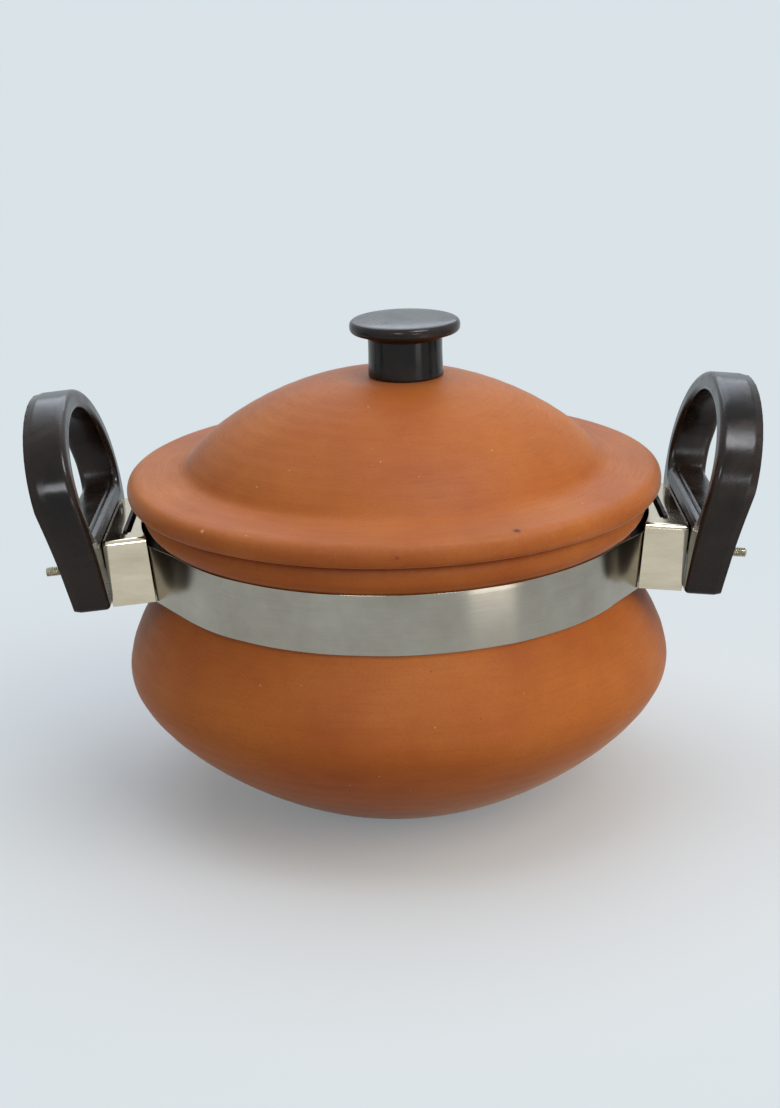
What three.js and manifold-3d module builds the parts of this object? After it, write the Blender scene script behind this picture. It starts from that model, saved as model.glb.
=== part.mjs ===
// Clay handi: a round clay pot with a domed clay lid, a steel band clamped round its neck and
// two moulded loop handles bolted to the band. Millimetres, +Z up, origin under the foot.
import * as THREE from 'three';
import { mergeVertices } from 'three/addons/utils/BufferGeometryUtils.js';
import Module from 'manifold-3d';

const wasm = await Module();
wasm.setup();

// Clearances
const SEAT = 0.3; // between pieces that rest on each other
const BORE = 0.3; // round a shank in its hole, on the radius
const LIP_GAP = 0.8; // between the lip of the pot and the bracket
const LID_GAP = 1.5; // between the locating ring of the lid and the mouth

// Pot
const FOOT_RADIUS = 42;
const BELLY_SWELL = 15.1; // of the belly beyond the neck
const BELLY_HEIGHT = 56;
const POT_WALL = 7;
const POT_FLOOR = 8;
const NECK_RADIUS = 96.9;
const SHOULDER_RISE = 35.4;
const LIP_FLARE = 6.3;
const LIP_HEIGHT = 12.2;

// Band round the neck
const BAND_HEIGHT = 24;
const BAND_SHEET = 0.8;
const BAND_INSET = 4.2; // of its ends from the cheeks of the bracket
const HOOK_LENGTH = 11;

// Lid
const BRIM_OVERHANG = 5.8;
const BRIM_THICK = 9.8;
const BRIM_ROUND = 4.6;
const FLANGE = 24; // from the edge of the brim to the foot of the dome
const DOME_RISE = 37;
const DOME_FLAT = 22;
const LID_WALL = 7;
const RING_DROP = 6;
const RING_WIDTH = 8;

// Knob, a little off the middle of the hand-made lid
const KNOB_OFFSET = 6;
const KNOB_RADIUS = 22.3;
const KNOB_HEIGHT = 23.4;
const KNOB_CAP = 5.8;
const STEM_RADIUS = 15.2;
const STEM_WAIST = 14.2;
const INSERT_RADIUS = 4.6;
const INSERT_LENGTH = 13;

// Bracket between neck and handle
const LEAN = THREE.MathUtils.degToRad(5.5);
const BRACKET_WIDTH = 63;
const BRACKET_DEPTH = 17.6;
const BRACKET_HEIGHT = 27.3;
const BRACKET_SHEET = 0.9;
const BRACKET_BEND = 2.2;
const PLATE_THICK = 1.5;
const PLATE_REACH = 10.2;
const PLATE_TAB = 42;
const PLATE_STAND = 0.9;
const SLOT_WIDTH = 3.2;

// Handle
const HANDLE_FOOT = 72;
const HANDLE_WIDTH = 102;
const HANDLE_WIDEST = 48;
const HANDLE_TOP = 82;
const HANDLE_BAR = 8;
const HANDLE_SADDLE = 31.5;
const HANDLE_SPLAY = THREE.MathUtils.degToRad(9);
const FOOT_THICK = 14.6;
const GRIP_THICK = 17.5;
const TOP_THICK = 16;
const HANDLE_ROUND = 2.5;

// Fasteners
const M4 = { shank: 2, head: 4, rise: 2.8, length: 40, washer: 4.5, sheet: 0.8, flats: 7, nut: 3.2 };
const M5 = { shank: 2.5, head: 4.9, rise: 3.4, length: 20, washer: 8, sheet: 1.2 };
const SCREW_RISE = 8; // of the handle screw above the lower edge of the bracket
const SPOT_FACE = 6;

// Heights and positions that follow from the sizes above
const BELLY_RADIUS = NECK_RADIUS + BELLY_SWELL;
const BAND_BOTTOM = BELLY_HEIGHT + SHOULDER_RISE;
const BAND_TOP = BAND_BOTTOM + BAND_HEIGHT;
const BAND_LINE = NECK_RADIUS + SEAT + BAND_SHEET / 2;
const RIM = BAND_TOP + 0.5 + LIP_HEIGHT;
const LIP_RADIUS = NECK_RADIUS + LIP_FLARE;
const MOUTH_RADIUS = NECK_RADIUS - POT_WALL;
const BRIM_RADIUS = LIP_RADIUS + BRIM_OVERHANG;
const DOME_FOOT = BRIM_RADIUS - FLANGE;
const LID_Z = RIM + SEAT;
const BRIM_TOP = LID_Z + BRIM_THICK;
const DOME_TOP = BRIM_TOP + DOME_RISE;
const DOME_UNDER = DOME_TOP - LID_WALL;
const BRACKET_X = NECK_RADIUS;
const BRACKET_Z = BAND_BOTTOM + 2 * SEAT;
const CHEEK = BRACKET_WIDTH / 2 - BRACKET_SHEET;
const LANE = CHEEK - BAND_INSET;
const HOOK_LINE = PLATE_REACH + SEAT + BAND_SHEET / 2;
const HEAD_SEAT = PLATE_REACH - PLATE_THICK - SEAT;
const HANDLE_FACE = BRACKET_DEPTH + SEAT;

const FACETS = 52;
const SMALL_FACETS = 18;

const clay = finish('#b46c3c', 0.88, 0);
const bakelite = finish('#2c2725', 0.34, 0);
const stainless = finish('#b7bab8', 0.3, 1);
const nickel = finish('#cfc8ba', 0.12, 1);
const zinc = finish('#b9b6aa', 0.38, 1);
const brass = finish('#b8924c', 0.35, 1);

function finish(color, roughness, metalness) {
  return new THREE.MeshStandardMaterial({ color, roughness, metalness });
}

const at = (x, y) => new THREE.Vector2(x, y);

/** Closed body from a geometry: shared corners joined and empty triangles dropped. */
function solid(geometry) {
  const bare = geometry.index ? geometry.toNonIndexed() : geometry.clone();
  bare.deleteAttribute('normal');
  bare.deleteAttribute('uv');
  const joined = mergeVertices(bare, 1e-4);
  const corners = joined.index.array;
  const kept = [];
  for (let i = 0; i < corners.length; i += 3) {
    const [a, b, c] = corners.slice(i, i + 3);
    if (a !== b && b !== c && c !== a) kept.push(a, b, c);
  }
  return new wasm.Manifold(new wasm.Mesh({
    numProp: 3,
    vertProperties: new Float32Array(joined.attributes.position.array),
    triVerts: new Uint32Array(kept),
  }));
}

/** Triangles of a closed body. */
function triangles(body) {
  const { vertProperties, triVerts } = body.getMesh();
  const geometry = new THREE.BufferGeometry();
  geometry.setAttribute('position', new THREE.BufferAttribute(vertProperties, 3));
  geometry.setIndex(new THREE.BufferAttribute(triVerts, 1));
  return geometry;
}

/** Body turned about the Z axis from an outline of radius and height. */
function turned(points, facets = FACETS) {
  return new THREE.LatheGeometry(points, facets).rotateX(Math.PI / 2);
}

/** Round bar or ring along +X, starting at x. */
function barAlongX(x, length, radius, inner = 0, facets = SMALL_FACETS) {
  const outline = inner > 0
    ? [at(inner, 0), at(radius, 0), at(radius, length), at(inner, length), at(inner, 0)]
    : [at(0, 0), at(radius, 0), at(radius, length), at(0, length)];
  return turned(outline, facets).rotateY(Math.PI / 2).translate(x, 0, 0);
}

/** Flat shape drawn in Y and Z, given a thickness along +X. */
function alongX(shape, depth, options = {}) {
  const geometry = new THREE.ExtrudeGeometry(
    shape, { depth, bevelEnabled: false, curveSegments: 4, ...options });
  return geometry.applyMatrix4(new THREE.Matrix4().set(0, 0, 1, 0, 1, 0, 0, 0, 0, 1, 0, 0, 0, 0, 0, 1));
}

/** From the leaning frame of a bracket, x outward and z up its edge, to the part. */
function leaned(geometry) {
  return geometry.rotateY(LEAN).translate(BRACKET_X, 0, BRACKET_Z);
}

function potBody() {
  const low = BAND_BOTTOM - 0.8;
  const high = BAND_TOP + 0.5;
  const rise = low - BELLY_HEIGHT;
  const wall = (wide, foot, floor, neck) => {
    const side = new THREE.Path();
    side.moveTo(foot, floor);
    side.bezierCurveTo(
      foot + 0.25 * (wide - foot), floor + 0.035 * (BELLY_HEIGHT - floor),
      wide - 0.03 * (wide - foot), floor + 0.63 * (BELLY_HEIGHT - floor), wide, BELLY_HEIGHT);
    side.bezierCurveTo(
      wide, BELLY_HEIGHT + 0.34 * rise, neck + 0.56 * (wide - neck), BELLY_HEIGHT + 0.67 * rise, neck, low);
    return side.getPoints(7);
  };
  const lip = new THREE.Path();
  lip.moveTo(NECK_RADIUS, high);
  lip.bezierCurveTo(
    NECK_RADIUS + 0.65 * (LIP_RADIUS - NECK_RADIUS), high + 0.1 * LIP_HEIGHT,
    LIP_RADIUS, high + 0.35 * LIP_HEIGHT, LIP_RADIUS, high + 0.66 * LIP_HEIGHT);
  lip.quadraticCurveTo(LIP_RADIUS, RIM, LIP_RADIUS - 0.33 * LIP_HEIGHT, RIM);
  lip.lineTo(MOUTH_RADIUS + 0.25 * LIP_HEIGHT, RIM);
  lip.quadraticCurveTo(MOUTH_RADIUS, RIM, MOUTH_RADIUS, RIM - 0.25 * LIP_HEIGHT);
  const inside = wall(BELLY_RADIUS - POT_WALL, FOOT_RADIUS - POT_WALL / 2, POT_FLOOR, MOUTH_RADIUS).reverse();
  return turned([
    at(0, 0), ...wall(BELLY_RADIUS, FOOT_RADIUS, 0, NECK_RADIUS), ...lip.getPoints(3), ...inside,
    at(0, POT_FLOOR)]);
}

function lidBody() {
  const ring = MOUTH_RADIUS - LID_GAP;
  const foot = BRIM_TOP + 3;
  const flange = DOME_FOOT + 6;
  const top = new THREE.Path();
  top.moveTo(ring, LID_Z);
  top.lineTo(BRIM_RADIUS - 0.7 * BRIM_ROUND, LID_Z);
  top.quadraticCurveTo(BRIM_RADIUS, LID_Z, BRIM_RADIUS, LID_Z + 0.8 * BRIM_ROUND);
  top.lineTo(BRIM_RADIUS, BRIM_TOP - BRIM_ROUND);
  top.quadraticCurveTo(BRIM_RADIUS, BRIM_TOP, BRIM_RADIUS - BRIM_ROUND, BRIM_TOP);
  top.lineTo(flange, BRIM_TOP + 1.4);
  top.quadraticCurveTo(DOME_FOOT + 3, BRIM_TOP + 1.7, DOME_FOOT, foot);
  top.bezierCurveTo(
    DOME_FOOT - 0.14 * (DOME_FOOT - DOME_FLAT), foot + 0.4 * (DOME_TOP - foot),
    DOME_FLAT + 0.38 * (DOME_FOOT - DOME_FLAT), DOME_TOP - 0.1 * (DOME_TOP - foot), DOME_FLAT, DOME_TOP);
  const inner = ring - RING_WIDTH;
  const under = new THREE.Path();
  under.moveTo(DOME_FLAT, DOME_UNDER);
  under.bezierCurveTo(
    DOME_FLAT + 0.4 * (inner - DOME_FLAT), DOME_UNDER - 0.1 * (DOME_UNDER - LID_Z),
    inner - 0.12 * (inner - DOME_FLAT), LID_Z + 0.5 * (DOME_UNDER - LID_Z), inner, LID_Z);
  under.lineTo(inner, LID_Z - RING_DROP + 1);
  under.lineTo(inner + 1, LID_Z - RING_DROP);
  under.lineTo(ring - 2, LID_Z - RING_DROP);
  under.lineTo(ring, LID_Z - RING_DROP + 2);
  under.lineTo(ring, LID_Z);
  const shell = turned([
    at(0, DOME_UNDER), ...under.getPoints(5), ...top.getPoints(5).slice(1), at(0, DOME_TOP)]);
  const hole = turned([
    at(0, DOME_UNDER - 5), at(M5.shank + BORE, DOME_UNDER - 5), at(M5.shank + BORE, DOME_TOP + 5),
    at(0, DOME_TOP + 5)], SMALL_FACETS).translate(KNOB_OFFSET, 0, 0);
  return triangles(solid(shell).subtract(solid(hole)));
}

function knobBody() {
  const base = DOME_TOP + SEAT;
  const crown = base + KNOB_HEIGHT;
  const cap = crown - KNOB_CAP;
  const bore = INSERT_RADIUS + BORE;
  const side = new THREE.Path();
  side.moveTo(STEM_RADIUS, base);
  side.bezierCurveTo(
    STEM_WAIST, base + 0.25 * KNOB_HEIGHT, STEM_WAIST, base + 0.45 * KNOB_HEIGHT, STEM_WAIST + 0.3, cap - 4);
  side.quadraticCurveTo(STEM_WAIST + 1, cap - 1, KNOB_RADIUS - 1.6, cap);
  side.quadraticCurveTo(KNOB_RADIUS, cap + 0.2, KNOB_RADIUS, cap + 1.8);
  side.lineTo(KNOB_RADIUS, crown - 2);
  side.quadraticCurveTo(KNOB_RADIUS, crown - 0.6, KNOB_RADIUS - 2.2, crown - 0.4);
  const recess = base + SEAT + INSERT_LENGTH + 1;
  return turned([
    at(0, recess), at(bore, recess), at(bore, base), ...side.getPoints(3), at(0, crown)], 36)
    .translate(KNOB_OFFSET, 0, 0);
}

function knobFasteners() {
  const base = DOME_TOP + 2 * SEAT;
  const seat = DOME_UNDER - SEAT - M5.sheet - SEAT;
  const bore = M5.shank + BORE;
  const onLid = (points) => turned(points, SMALL_FACETS).translate(KNOB_OFFSET, 0, 0);
  const rect = (inner, outer, low, high) => [
    at(inner, low), at(outer, low), at(outer, high), at(inner, high), at(inner, low)];
  return {
    insert: onLid(rect(bore, INSERT_RADIUS, base, base + INSERT_LENGTH)),
    washer: onLid(rect(bore, M5.washer, seat + SEAT, seat + SEAT + M5.sheet)),
    screw: slotted(onLid([
      at(0, seat - M5.rise), at(0.75 * M5.head, seat - M5.rise), at(M5.head, seat - 0.55 * M5.rise),
      at(M5.head, seat), at(M5.shank, seat), at(M5.shank, seat + M5.length - 1),
      at(M5.shank - 0.6, seat + M5.length), at(0, seat + M5.length)]),
    new THREE.BoxGeometry(3 * M5.head, 1.2, 2.6).translate(KNOB_OFFSET, 0, seat - M5.rise)),
  };
}

/** Screw with the driver slot cut across its head. */
function slotted(screw, blade) {
  return triangles(solid(screw).subtract(solid(blade)));
}

/** Outline of a strip of even thickness laid along a line of points. */
function stripOutline(line, thickness) {
  const side = (sign) => line.map((point, i) => {
    const before = line[Math.max(i - 1, 0)];
    const after = line[Math.min(i + 1, line.length - 1)];
    const into = point.clone().sub(before).normalize();
    const out = after.clone().sub(point).normalize();
    const along = into.add(out).normalize();
    const leg = i > 0 ? point.clone().sub(before).normalize() : along;
    const spread = thickness / 2 / Math.max(along.dot(leg), 0.3);
    return at(point.x - sign * along.y * spread, point.y + sign * along.x * spread);
  });
  return new THREE.Shape([...side(-1), ...side(1).reverse()]);
}

/** Half of the band: neck arc, tangents to the brackets, cheeks inside them and end hooks. */
function bandHalf() {
  const corner = at(BRACKET_X + 2, -LANE);
  const reach = Math.acos(BAND_LINE / corner.length());
  const leave = Math.atan2(corner.x, -corner.y) - reach;
  const right = [];
  for (let i = 0; i <= 16; i += 1) {
    const turn = (leave * i) / 16;
    right.push(at(BAND_LINE * Math.sin(turn), -BAND_LINE * Math.cos(turn)));
  }
  const hook = BRACKET_X + HOOK_LINE / Math.cos(LEAN);
  const bend = new THREE.Path();
  const heading = corner.clone().sub(right.at(-1)).normalize();
  bend.moveTo(corner.x - 8 * heading.x, corner.y - 8 * heading.y);
  bend.lineTo(corner.x - 2 * heading.x, corner.y - 2 * heading.y);
  bend.quadraticCurveTo(corner.x, corner.y, corner.x + 2, corner.y);
  bend.lineTo(hook - 1.5, corner.y);
  bend.quadraticCurveTo(hook, corner.y, hook, corner.y + 1.5);
  bend.lineTo(hook, corner.y + HOOK_LENGTH);
  right.push(...bend.getPoints(4));
  const left = right.slice(1).map((point) => at(-point.x, point.y)).reverse();
  const outline = stripOutline([...left, ...right], BAND_SHEET);
  const strip = new THREE.ExtrudeGeometry(outline, { depth: BAND_HEIGHT, bevelEnabled: false })
    .translate(0, 0, BAND_BOTTOM);
  const place = strip.attributes.position;
  for (let i = 0; i < place.count; i += 1) {
    const x = place.getX(i);
    const share = THREE.MathUtils.clamp((Math.abs(x) - BRACKET_X + 9) / 9, 0, 1);
    place.setX(i, x + Math.sign(x) * share * (place.getZ(i) - BRACKET_Z) * Math.tan(LEAN));
  }
  return strip;
}

/** Folded cover: two cheeks and a top, slotted for the plate and relieved for the lip. */
function bracketBody() {
  const half = BRACKET_WIDTH / 2;
  const inner = BRACKET_BEND - BRACKET_SHEET;
  const roof = BRACKET_HEIGHT - BRACKET_SHEET;
  const fold = new THREE.Shape();
  fold.moveTo(half, 0);
  fold.lineTo(half, BRACKET_HEIGHT - BRACKET_BEND);
  fold.absarc(half - BRACKET_BEND, BRACKET_HEIGHT - BRACKET_BEND, BRACKET_BEND, 0, Math.PI / 2);
  fold.absarc(BRACKET_BEND - half, BRACKET_HEIGHT - BRACKET_BEND, BRACKET_BEND, Math.PI / 2, Math.PI);
  fold.lineTo(-half, 0);
  fold.lineTo(-CHEEK, 0);
  fold.absarc(BRACKET_BEND - half, BRACKET_HEIGHT - BRACKET_BEND, inner, Math.PI, Math.PI / 2, true);
  fold.absarc(half - BRACKET_BEND, BRACKET_HEIGHT - BRACKET_BEND, inner, Math.PI / 2, 0, true);
  fold.lineTo(CHEEK, 0);
  const cover = leaned(alongX(fold, BRACKET_DEPTH));
  const slot = leaned(new THREE.BoxGeometry(SLOT_WIDTH, PLATE_TAB + 2 * SEAT, 8 * BRACKET_SHEET)
    .translate(PLATE_REACH + SEAT - SLOT_WIDTH / 2, 0, roof));
  const lip = turned([
    at(0, BAND_TOP), at(LIP_RADIUS + LIP_GAP, BAND_TOP), at(LIP_RADIUS + LIP_GAP, RIM), at(0, RIM)], 96);
  return triangles(solid(cover).subtract(solid(slot)).subtract(solid(lip)));
}

/** Upright plate behind the hooks, with a tab through the slot of the cover. */
function clampPlate() {
  const half = LANE - BAND_SHEET / 2 - 2 * SEAT;
  const shoulder = BRACKET_HEIGHT - BRACKET_SHEET - 2 * SEAT;
  const shape = new THREE.Shape([
    at(-half, 1), at(half, 1), at(half, shoulder), at(PLATE_TAB / 2, shoulder),
    at(PLATE_TAB / 2, BRACKET_HEIGHT + PLATE_STAND), at(-PLATE_TAB / 2, BRACKET_HEIGHT + PLATE_STAND),
    at(-PLATE_TAB / 2, shoulder), at(-half, shoulder)]);
  shape.holes.push(new THREE.Path().absarc(0, SCREW_RISE, M4.shank + BORE, 0, 2 * Math.PI));
  return leaned(alongX(shape, PLATE_THICK).translate(PLATE_REACH - PLATE_THICK, 0, 0));
}

/** Loop handle: one moulding from a flat foot up round the finger gap, splayed above the foot. */
function handleBody() {
  const foot = HANDLE_FOOT / 2;
  const wide = HANDLE_WIDTH / 2;
  const loop = new THREE.Shape();
  loop.moveTo(-foot + 3, 0);
  loop.lineTo(foot - 3, 0);
  loop.quadraticCurveTo(foot, 0, foot + 0.6, 3);
  loop.bezierCurveTo(
    foot + 0.4 * (wide - foot), 0.34 * HANDLE_WIDEST, wide, 0.7 * HANDLE_WIDEST, wide, HANDLE_WIDEST);
  const haunch = HANDLE_WIDEST + 0.55 * (HANDLE_TOP - HANDLE_WIDEST);
  loop.bezierCurveTo(wide, haunch, 0.55 * wide, HANDLE_TOP, 0, HANDLE_TOP);
  loop.bezierCurveTo(-0.55 * wide, HANDLE_TOP, -wide, haunch, -wide, HANDLE_WIDEST);
  loop.bezierCurveTo(
    -wide, 0.7 * HANDLE_WIDEST, -foot - 0.4 * (wide - foot), 0.34 * HANDLE_WIDEST, -foot - 0.6, 3);
  loop.quadraticCurveTo(-foot, 0, -foot + 3, 0);
  const gap = wide - HANDLE_BAR;
  const crown = HANDLE_TOP - HANDLE_BAR;
  const finger = new THREE.Path();
  finger.moveTo(-gap + 7, HANDLE_SADDLE);
  finger.lineTo(gap - 7, HANDLE_SADDLE);
  finger.bezierCurveTo(gap - 2, HANDLE_SADDLE, gap, HANDLE_SADDLE + 6, gap, HANDLE_WIDEST - 3);
  const spring = HANDLE_WIDEST + 0.55 * (crown - HANDLE_WIDEST);
  finger.bezierCurveTo(gap, spring, 0.55 * gap, crown, 0, crown);
  finger.bezierCurveTo(-0.55 * gap, crown, -gap, spring, -gap, HANDLE_WIDEST - 3);
  finger.bezierCurveTo(-gap, HANDLE_SADDLE + 6, -gap + 2, HANDLE_SADDLE, -gap + 7, HANDLE_SADDLE);
  loop.holes.push(finger);
  const blank = alongX(loop, GRIP_THICK - 2 * HANDLE_ROUND, {
    curveSegments: 8, bevelEnabled: true, bevelSegments: 2,
    bevelThickness: HANDLE_ROUND, bevelSize: HANDLE_ROUND, bevelOffset: -HANDLE_ROUND,
  }).translate(HANDLE_ROUND, 0, 0);
  const place = blank.attributes.position;
  for (let i = 0; i < place.count; i += 1) {
    const rise = place.getZ(i);
    const thick = rise < HANDLE_WIDEST
      ? THREE.MathUtils.mapLinear(rise, 0, HANDLE_WIDEST, FOOT_THICK, GRIP_THICK)
      : THREE.MathUtils.mapLinear(rise, HANDLE_WIDEST, HANDLE_TOP, GRIP_THICK, TOP_THICK);
    const splay = Math.max(rise - HANDLE_SADDLE, 0) * Math.tan(HANDLE_SPLAY);
    place.setX(i, HANDLE_FACE + splay + (place.getX(i) * thick) / GRIP_THICK);
  }
  const outside = HANDLE_FACE + FOOT_THICK;
  const hole = barAlongX(0, 2 * outside, M4.shank + BORE).translate(0, 0, SCREW_RISE);
  const face = barAlongX(spotFloor(), outside, SPOT_FACE).translate(0, 0, SCREW_RISE);
  return triangles(solid(leaned(blank)).subtract(solid(leaned(hole))).subtract(solid(leaned(face))));
}

/** Level of the flat that is cut into the back of the handle for its washer. */
function spotFloor() {
  return HANDLE_FACE + FOOT_THICK - 1.2;
}

function handleFasteners() {
  const washer = spotFloor() + SEAT;
  const nut = washer + M4.sheet + SEAT;
  const tip = HEAD_SEAT + M4.length;
  const bore = M4.shank + BORE;
  const raise = (geometry) => leaned(geometry.translate(0, 0, SCREW_RISE));
  const hexagon = new THREE.Shape(Array.from({ length: 6 }, (_, i) => {
    const turn = (Math.PI * i) / 3;
    return at(Math.cos(turn), Math.sin(turn)).multiplyScalar(M4.flats / Math.sqrt(3));
  }));
  hexagon.holes.push(new THREE.Path().absarc(0, 0, bore, 0, 2 * Math.PI));
  const screw = turned([
    at(0, HEAD_SEAT - M4.rise), at(0.75 * M4.head, HEAD_SEAT - M4.rise),
    at(M4.head, HEAD_SEAT - 0.55 * M4.rise), at(M4.head, HEAD_SEAT), at(M4.shank, HEAD_SEAT),
    at(M4.shank, tip - 0.6), at(M4.shank - 0.5, tip), at(0, tip)], SMALL_FACETS).rotateY(Math.PI / 2);
  const blade = new THREE.BoxGeometry(2.2, 3 * M4.head, 1).translate(HEAD_SEAT - M4.rise, 0, 0);
  return {
    washer: raise(barAlongX(washer, M4.sheet, M4.washer, bore)),
    nut: raise(alongX(hexagon, M4.nut).translate(nut, 0, 0)),
    screw: raise(slotted(screw, blade)),
  };
}

const handi = new THREE.Group();
handi.name = 'clay_handi';

function piece(name, geometry, material) {
  const mesh = new THREE.Mesh(triangles(solid(geometry)), material);
  mesh.name = name;
  mesh.geometry.computeVertexNormals();
  handi.add(mesh);
}

/** The same piece on the right and, turned half round the pot, on the left. */
function pair(name, geometry, material) {
  piece(`${name}_right`, geometry, material);
  piece(`${name}_left`, geometry.clone().rotateZ(Math.PI), material);
}

const onKnob = knobFasteners();
const onHandle = handleFasteners();
const half = bandHalf();

piece('pot', potBody(), clay);
piece('lid', lidBody(), clay);
piece('knob', knobBody(), bakelite);
piece('knob_insert', onKnob.insert, brass);
piece('knob_screw', onKnob.screw, zinc);
piece('knob_washer', onKnob.washer, zinc);
piece('band_front', half, stainless);
piece('band_back', half.clone().rotateZ(Math.PI), stainless);
pair('bracket', bracketBody(), nickel);
pair('clamp_plate', clampPlate(), nickel);
pair('handle', handleBody(), bakelite);
pair('handle_screw', onHandle.screw, zinc);
pair('handle_washer', onHandle.washer, zinc);
pair('handle_nut', onHandle.nut, zinc);

export default handi;
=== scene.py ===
"""Dresses the packed clay handi: a clay pot and lid, a steel band, two brackets and two loop handles.

Sizes are in millimetres in the frame of the CAD part: +Z up, the origin under the foot, the handles
along X and the front of the pot towards -Y. Meshes, materials and lamps are in metres.
"""
import logging
import math
from collections.abc import Callable
from dataclasses import dataclass
from enum import Enum
from functools import partial
from itertools import repeat
from typing import Any

import bpy
import numpy as np
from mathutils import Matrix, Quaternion, Vector


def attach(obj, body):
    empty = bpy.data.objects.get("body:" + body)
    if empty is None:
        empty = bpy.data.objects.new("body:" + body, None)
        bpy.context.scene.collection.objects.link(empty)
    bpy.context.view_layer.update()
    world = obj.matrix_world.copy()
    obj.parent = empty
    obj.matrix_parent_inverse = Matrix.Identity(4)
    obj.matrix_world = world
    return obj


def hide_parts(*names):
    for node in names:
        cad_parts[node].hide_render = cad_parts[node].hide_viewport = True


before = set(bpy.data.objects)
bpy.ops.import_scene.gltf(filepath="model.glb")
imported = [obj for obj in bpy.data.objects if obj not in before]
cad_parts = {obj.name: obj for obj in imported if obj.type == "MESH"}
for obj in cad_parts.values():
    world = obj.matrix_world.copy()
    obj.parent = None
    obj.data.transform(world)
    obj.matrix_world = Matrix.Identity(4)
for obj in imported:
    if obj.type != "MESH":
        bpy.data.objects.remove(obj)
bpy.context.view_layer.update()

log = logging.getLogger("clay_handi")
MM = 0.001
CURVE_POINTS = 48
FASTENER_CREASE = 35
BOTH = (True, True)
Flags = tuple[bool, bool]
Point = tuple[float, float]
Triple = tuple[float, float, float]
Nodes = Callable[..., bpy.types.NodeSocket]


class Body(Enum):
    """Moving bodies of the part."""

    POT = "pot_assembly"
    LID = "lid_assembly"


class Slot(Enum):
    """Material slots of the record."""

    CLAY = "clay"
    BAKELITE = "bakelite"
    STAINLESS = "stainless_steel"
    NICKEL = "nickel_plate"
    ZINC = "zinc_plated_steel"
    BRASS = "brass"


class Reach(Enum):
    """What a lamp does, as seen by matt and by glossy rays: light surfaces, or show as a glint."""

    MATT = (True, False)
    GLINT = (False, True)


class Side(Enum):
    """Side of the pot; the left is the right turned half round the Z axis."""

    RIGHT = 1
    LEFT = -1

    def node(self, stem: str) -> str:
        """Name of this side's CAD node."""
        return f"{stem}_{self.name.lower()}"

    def turn(self, points: np.ndarray) -> np.ndarray:
        """Points of the right side brought to this side: (x, y, z) to (-x, -y, z) on the left."""
        return points * np.array([self.value, self.value, 1.0])


def linear(code: str) -> tuple[float, float, float, float]:
    """Turns an sRGB hex colour to linear light.

    Args:
        code: Colour such as "#b46c3c".
    Returns:
        Red, green, blue and an alpha of 1.
    """
    part = np.array([int(code[i:i + 2], 16) for i in (1, 3, 5)]) / 255
    light = np.where(part <= 0.04045, part / 12.92, ((part + 0.055) / 1.055) ** 2.4)
    return (*light.tolist(), 1.0)


def per(size: float) -> float:
    """Texture scale whose features are about this many millimetres wide."""
    return 1 / (size * MM)


def add(tree: bpy.types.NodeTree, kind: str, inputs: dict[str | int, Any] | None = None,
        output: str | int = 0, **settings: Any) -> bpy.types.NodeSocket | None:
    """Adds one shader node with its settings and links.

    Args:
        tree: Tree that takes the node.
        kind: Blender's name for the node type, after "ShaderNode".
        inputs: Socket name or number to a value, or to the output that feeds it.
        output: Name or number of the output wanted.
        settings: Properties of the node.
    Returns:
        That output, or None from a node that has none.
    """
    node = tree.nodes.new("ShaderNode" + kind)
    for key, value in settings.items():
        setattr(node, key, value)
    for key, value in (inputs or {}).items():
        if isinstance(value, bpy.types.NodeSocket):
            tree.links.new(value, node.inputs[key])
        else:
            node.inputs[key].default_value = value
    return node.outputs[output] if node.outputs else None


def bezier(*controls: Point, count: int = CURVE_POINTS) -> np.ndarray:
    """Bezier curve: the sum over k of C(n, k) (1 - t)^(n - k) t^k P_k for t from 0 to 1.

    Args:
        controls: Control points; two of them give a straight line.
        count: Number of points.
    Returns:
        Points, count by 2.
    """
    t = np.linspace(0, 1, count)[:, None]
    degree = len(controls) - 1
    weights = [math.comb(degree, k) * (1 - t) ** (degree - k) * t ** k for k in range(degree + 1)]
    return np.hstack(weights) @ np.array(controls, float)


def chain(*lines: np.ndarray) -> np.ndarray:
    """Joins lines end to end and drops the points that repeat.

    Args:
        lines: Lines in order.
    Returns:
        One line.
    """
    joined = np.vstack(lines)
    step = np.linalg.norm(np.diff(joined, axis=0), axis=1)
    return joined[np.concatenate([[True], step > 1e-6])]


def trace(start: Point, *legs: tuple[Point, ...], counts: tuple[int, ...] = ()) -> np.ndarray:
    """Chain of Bezier curves, each from the end of the one before.

    Args:
        start: First point.
        legs: Controls of each curve after its first point; a single point gives a straight line.
        counts: Number of points in each curve, if not the usual one.
    Returns:
        The whole line.
    """
    ends = (start, *(leg[-1] for leg in legs))
    return chain(*(bezier(end, *leg, count=count)
                   for end, leg, count in zip(ends, legs, counts or repeat(CURVE_POINTS))))


def run_of(line: np.ndarray) -> np.ndarray:
    """Distance along a line at each of its points."""
    return np.concatenate([[0.0], np.cumsum(np.linalg.norm(np.diff(line, axis=0), axis=1))])


def soften(line: np.ndarray, step: float, width: float) -> np.ndarray:
    """Puts even points on a line and rounds its corners: each point becomes a Gaussian mean.

    Args:
        line: Points, any number by 2.
        step: Distance wanted between points; the nearest that divides the line is taken.
        width: Standard deviation of the mean.
    Returns:
        The line with its ends kept.
    """
    run = run_of(line)
    mark = np.linspace(0, run[-1], max(round(run[-1] / step), 2) + 1)
    line = np.column_stack([np.interp(mark, run, line[:, k]) for k in range(2)])
    reach = max(int(3 * width / step), 1)
    share = np.exp(-0.5 * (np.arange(-reach, reach + 1) * step / width) ** 2)
    head = 2 * line[0] - line[reach:0:-1]
    tail = 2 * line[-1] - line[-2:-reach - 2:-1]
    padded = np.vstack([head, line, tail])
    return np.column_stack([np.convolve(padded[:, k], share / share.sum(), "valid") for k in range(2)])


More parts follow.
